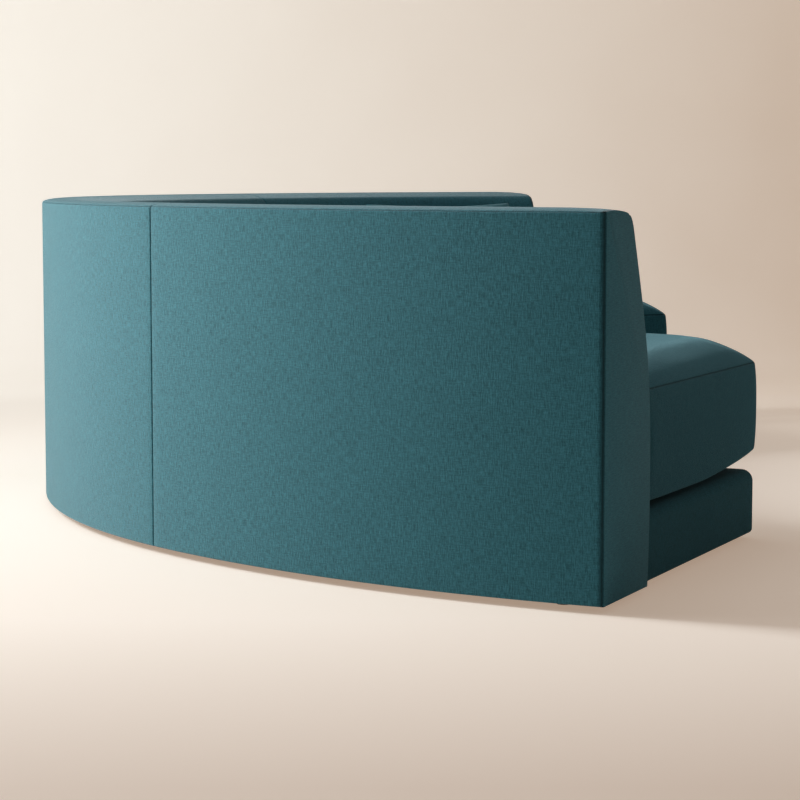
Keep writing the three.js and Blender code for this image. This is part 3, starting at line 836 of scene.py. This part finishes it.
def lay_weave(piece, module):
    """Stores where each bit of cloth lies in its weave, for faces that look out, up or along."""
    mesh = piece.data
    layer = mesh.uv_layers.get("weave") or mesh.uv_layers.new(name="weave")
    loops = np.empty(len(mesh.loops), int)
    mesh.loops.foreach_get("vertex_index", loops)
    places = np.empty(len(mesh.vertices) * 3)
    mesh.vertices.foreach_get("co", places)
    normals = np.empty(len(mesh.polygons) * 3)
    mesh.polygons.foreach_get("normal", normals)
    sizes = np.empty(len(mesh.polygons), int)
    mesh.polygons.foreach_get("loop_total", sizes)
    back = np.array(module.place.inverted())
    places = places.reshape(-1, 3) @ back[:3, :3].T + back[:3, 3]
    normals = normals.reshape(-1, 3) @ back[:3, :3].T
    angle = np.arctan2(places[:, 0], places[:, 1] + module.radius)
    reach = np.hypot(places[:, 0], places[:, 1] + module.radius)
    turn = angle[loops]
    face = np.repeat(np.arange(len(sizes)), sizes)
    first = np.concatenate([[0], np.cumsum(sizes)[:-1]])
    outward = np.stack([np.sin(turn[first]), np.cos(turn[first])], 1)
    radial = np.abs((normals[:, :2] * outward).sum(1))
    along = np.abs(normals[:, 0] * outward[:, 1] - normals[:, 1] * outward[:, 0])
    upward = np.abs(normals[:, 2])
    depth, height = module.radius - reach[loops], places[loops, 2]
    arc = turn * (module.radius - WEAVE_DEPTH)
    kind = np.argmax(np.stack([radial, upward, along], 1), 1)[face]
    u = np.where(kind == 0, turn * reach[loops], np.where(kind == 1, arc, depth))
    v = np.where(kind == 1, depth, height)
    layer.data.foreach_set("uv", np.stack([u, v], 1).ravel())


def crowd(share):
    """Spreads grid lines from -1 to 1 so that they lie a little closer toward the edges."""
    even = share * 2 - 1
    return EVEN_SHARE * even + CROWDED_SHARE * math.sin(even * math.pi / 2)


def dome(share, fullness=CROWN_FULLNESS):
    """Height of a crown, from 0 at its edges to 1 at its middle; a fuller one rises sooner."""
    return max(0.0, 1 - abs(share) ** fullness) ** 0.5


def end_gap(module, side):
    return PLINTH_INSET if module.closed(side) else CUSHION_GAP


def seat_height(module, across, inward, level, shrink):
    """How high a point of the seat cushion lies; only its top and underside have a crown."""
    foot = SEAT_BOTTOM + SEAT_BELLY + SEAT_LIFT * max(inward, 0) ** SEAT_LIFT_POWER
    height = foot + (SEAT_SEAM - foot) * (level + 1) / 2
    if level == 1:
        outer = module.closed(RIGHT if across > 0 else LEFT)
        crown = (SEAT_CROWN - shrink) * dome(across, EDGE_FULLNESS if outer else CROWN_FULLNESS)
        return height + crown * dome(inward, EDGE_FULLNESS if inward > 0 else CROWN_FULLNESS)
    if level == -1:
        return height - (foot - SEAT_BOTTOM) * dome(across) * dome(inward)
    return height


def seat_point(module, across, inward, level, shrink):
    """A point of the seat cushion, by shares from -1 to 1 along the back, toward the front and up."""
    draw = SEAT_FOOT_DRAW if level < 0 else SEAT_SEAM_DRAW
    draw = draw * abs(level) ** SEAT_DRAW_POWER + shrink
    rear, front = SEAT_REAR + draw, SEAT_FRONT - draw
    start, end = end_gap(module, LEFT) + draw, end_gap(module, RIGHT) + draw
    half_depth = (front - rear) / 2
    middle = (front + rear) / 2
    reach = module.radius - middle - half_depth * inward
    half_width = ((module.end - module.start) * reach - start - end) / 2
    over_across = max(abs(across) * half_width - half_width + SEAT_CORNER, 0)
    over_inward = max(abs(inward) * half_depth - half_depth + SEAT_CORNER, 0)
    pull = 1.0
    if over_across > 0 and over_inward > 0:
        pull = max(over_across, over_inward) / math.hypot(over_across, over_inward)
    depth = middle + math.copysign(abs(inward) * half_depth - over_inward * (1 - pull), inward)
    from_end = half_width - abs(across) * half_width + over_across * (1 - pull)
    height = seat_height(module, across, inward, level, shrink)
    if across > 0:
        return module.point(module.end, -end - from_end, depth, height)
    return module.point(module.start, start + from_end, depth, height)


def applied(piece):
    """Makes what the piece's modifiers show its own mesh."""
    bpy.context.view_layer.update()
    graph = bpy.context.evaluated_depsgraph_get()
    made = bpy.data.meshes.new_from_object(piece.evaluated_get(graph))
    old = piece.data
    piece.modifiers.clear()
    piece.data = made
    bpy.data.meshes.remove(old)


def remesh(piece, voxel):
    step = piece.modifiers.new("remesh", "REMESH")
    step.mode = "VOXEL"
    step.voxel_size = voxel
    step.use_smooth_shade = True
    applied(piece)


def inflate(piece, held, pressure, cap, frames=16):
    """Fills the piece like a cushion: cloth under pressure, held where told, moved by cap at most."""
    mesh = piece.data
    group = piece.vertex_groups.new(name="held")
    group.add(held, 1.0, "REPLACE")
    rest = np.empty(len(mesh.vertices) * 3)
    mesh.vertices.foreach_get("co", rest)
    rest = rest.reshape(-1, 3)
    cloth = piece.modifiers.new("cloth", "CLOTH")
    settings = cloth.settings
    settings.vertex_group_mass = "held"
    settings.quality = 4
    settings.mass = 0.3
    settings.tension_stiffness = 15
    settings.compression_stiffness = 15
    settings.shear_stiffness = 5
    settings.bending_stiffness = 0.5
    settings.use_pressure = True
    settings.uniform_pressure_force = pressure
    settings.effector_weights.gravity = 0
    cloth.collision_settings.use_collision = False
    scene = bpy.context.scene
    for number in range(1, frames + 1):
        scene.frame_set(number)
    filled = piece.evaluated_get(bpy.context.evaluated_depsgraph_get())
    moved = np.empty(len(mesh.vertices) * 3)
    filled.to_mesh().vertices.foreach_get("co", moved)
    filled.to_mesh_clear()
    move = moved.reshape(-1, 3) - rest
    length = np.linalg.norm(move, axis=1, keepdims=True)
    move *= cap * np.tanh(length / cap) / np.maximum(length, 1e-9)
    piece.modifiers.clear()
    piece.vertex_groups.clear()
    mesh.vertices.foreach_set("co", (rest + move).ravel())
    mesh.update()
    scene.frame_set(1)


def smooth_once(piece):
    step = piece.modifiers.new("smooth", "SUBSURF")
    step.levels = 1
    step.render_levels = 1
    applied(piece)
    piece.data.polygons.foreach_set("use_smooth", [True] * len(piece.data.polygons))


def add_seat(module, fabric):
    """A box cushion. Its cover is held along both seams and at the foot, which lies on the plinth."""
    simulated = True
    shrink = SEAT_SPARE if simulated else 0.0
    columns, rows, layers = SEAT_COLUMNS[module.name], SEAT_ROWS, SEAT_LAYERS
    seams = set()

    def place(i, j, k):
        edge = i in (0, columns) or j in (0, rows)
        point = seat_point(module, crowd(i / columns), crowd(j / rows), crowd(k / layers), shrink)
        if k == 0 or (edge and k == layers):
            seams.add(tuple(point))
        return point

    block = grid_block(columns, rows, layers, place)
    piece = finish_mesh("seat_cover_" + module.name, block, fabric, sharp=180)
    if simulated:
        held = [v.index for v in piece.data.vertices if tuple(v.co) in seams]
        inflate(piece, held, pressure=4, cap=0.008)
        smooth_once(piece)
    lay_weave(piece, module)
    take_place(piece, "seat_" + module.name, "cushion_cover", "seat_cushion_" + module.name)


# A grid line across the plinth: an angle, the distance from it along the arc, how far the line
# lies past the start of the rounded end, and on which side.
Column = namedtuple("Column", "angle away past side", defaults=(0, 0, 0))


def plinth_side(module, side, turns):
    """The plinth's last grid lines toward that side, from the inside out."""
    angle = module.end_angle(side)
    if module.closed(side):
        away = -side * (PLINTH_INSET + PLINTH_ROUND)
        return [Column(angle, away, PLINTH_ROUND * t, side) for t in (0, *turns)]
    return [Column(angle, -side * JOINT_ROUND), Column(angle, -side * FIT)]


def add_plinth(module, fabric, steps=6, foot_steps=4):
    """A box with rounded edges at its front, its top and its closed end."""
    radius, foot = PLINTH_ROUND, PLINTH_FOOT_ROUND
    turns = [math.tan(math.pi / 4 * i / steps) for i in range(1, steps + 1)]
    clear = 2 * (PLINTH_INSET + radius) / module.radius
    angles = [row.angle for row in stations(module)]
    columns = plinth_side(module, LEFT, turns)[::-1]
    columns += [Column(a) for a in angles if module.start + clear < a < module.end - clear]
    columns += plinth_side(module, RIGHT, turns)
    rows = [(WAIST_DEPTH + FIT, 0), (PLINTH_FRONT - radius, 0)]
    rows += [(PLINTH_FRONT - radius, radius * t) for t in turns]
    rises = [math.pi / 2 * i / foot_steps for i in range(foot_steps + 1)]
    layers = [(UNDERSIDE + foot * (1 - math.cos(t)), 0, foot * (1 - math.sin(t))) for t in rises]
    layers += [(PLINTH_TOP - radius, 0, 0)]
    layers += [(PLINTH_TOP - radius, radius * t, 0) for t in turns]

    def place(i, j, k):
        column, (depth, past_front), (height, past_top, draw) = columns[i], rows[j], layers[k]
        past = Vector((column.past, past_front, past_top))
        most = max(past)
        if most > 0:
            past *= most / past.length
        past.x *= 1 - draw / radius
        past.y *= 1 - draw / radius
        away = column.away + column.side * past.x
        return module.point(column.angle, away, depth + past.y, height + past.z)

    bm = grid_block(len(columns) - 1, len(rows) - 1, len(layers) - 1, place)
    piece = finish_mesh("plinth_skin_" + module.name, bm, fabric)
    lay_weave(piece, module)
    take_place(piece, "root", "upholstery", "plinth_cover_" + module.name)


def solid_frame(node):
    """The place of a flat solid, with its widest way along X, its height along Y and its thinnest
    way along Z, and its three sizes."""
    places = np.array([v.co for v in node.data.vertices], float)
    middle = places.mean(0)
    _, axes = np.linalg.eigh(np.cov((places - middle).T))
    tall, wide = Vector(axes[:, 1]), Vector(axes[:, 2])
    if wide.x < 0:
        wide = -wide
    if tall.z < 0:
        tall = -tall
    thick = wide.cross(tall)
    spread = (places - middle) @ np.array([wide, tall, thick]).T
    turn = Matrix((wide, tall, thick)).transposed().to_4x4()
    return Matrix.Translation(Vector(middle)) @ turn, spread.max(0) - spread.min(0)


def add_pillow(module, fabric):
    """A knife-edge pillow, made like an envelope on the place of its solid and filled there."""
    name = module.name
    place, (width, height, thickness) = solid_frame(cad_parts["lumbar_pillow_" + name])
    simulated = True
    spare = PILLOW_SPARE if simulated else 0.0

    def at(i, j, k):
        across, upward, side = crowd(i / PILLOW_COLUMNS), crowd(j / PILLOW_ROWS), 2 * k - 1
        half_width = width / 2 - PILLOW_PINCH * (1 - upward**2) + spare
        half_height = height / 2 - PILLOW_PINCH * (1 - across**2) + spare
        puff = dome(across, PILLOW_FULLNESS) * dome(upward, PILLOW_FULLNESS)
        half = PILLOW_EDGE + (thickness / 2 - PILLOW_EDGE - spare) * puff
        return place @ Vector((across * half_width, upward * half_height, side * half))

    block = grid_block(PILLOW_COLUMNS, PILLOW_ROWS, 1, at)
    piece = finish_mesh("pillow_cover_" + name, block, fabric, sharp=180)
    if simulated:
        remesh(piece, PILLOW_VOXEL)
        back = place.inverted()
        held = [v.index for v in piece.data.vertices if abs((back @ v.co).z) < PILLOW_SEAM]
        inflate(piece, held, pressure=3, cap=0.014)
        smooth_once(piece)
    lay_weave(piece, module)
    take_place(piece, "pillow_" + name, "pillow_cover", "lumbar_pillow_" + name)


# Putting it together


def add_covers():
    back_linen = linen("back_linen", DEEP, PALE, contrast=0.78)
    # The end's linen is a lighter copy of the back's colours, a painted light, and the seat's and
    # plinth's are darker copies, a painted shade; their lower contrast and the end's crosswise weave
    # are the cloth's own.
    end_linen = linen(
        "end_linen", toned(DEEP, 1.4), toned(PALE, 1.1),
        contrast=0.6, sheen=0.3, crosswise=True, offset=17.0,
    )
    seat_linen = linen(
        "seat_linen", toned(DEEP, 0.68), toned(PALE, 0.68),
        contrast=0.6, sheen=0.56, bloom=SEAT_BLOOM, gloss=0.05, offset=31.0, seam=SEAT_SEAM,
    )
    plinth_linen = linen(
        "plinth_linen", toned(DEEP, 0.82), toned(PALE, 0.7),
        contrast=0.6, sheen=0.1, gloss=0.1, offset=43.0,
    )
    pillow_linen = linen("pillow_linen", DEEP, PALE, contrast=0.7, sheen=0.2, offset=57.0)
    modules = make_modules()
    for module in modules:
        add_back(module, back_linen)
        add_plinth(module, plinth_linen)
        add_seat(module, seat_linen)
    for module in modules[1:]:
        add_end(module, end_linen)
        add_pillow(module, pillow_linen)


def paint_frame():
    """Gives each solid its finish: wood, but for the sheets, glides and brackets."""
    wood = plywood()
    finishes = {"dust_sheet": dust_cloth(), "glide": glide_plastic(), "bracket": zinc()}
    for name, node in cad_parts.items():
        finish = next((paint for start, paint in finishes.items() if name.startswith(start)), wood)
        node.data.materials.clear()
        node.data.materials.append(finish)


bpy.context.scene.view_settings.view_transform = "Standard"
add_camera()
add_stage()
add_lights()
add_covers()
paint_frame()
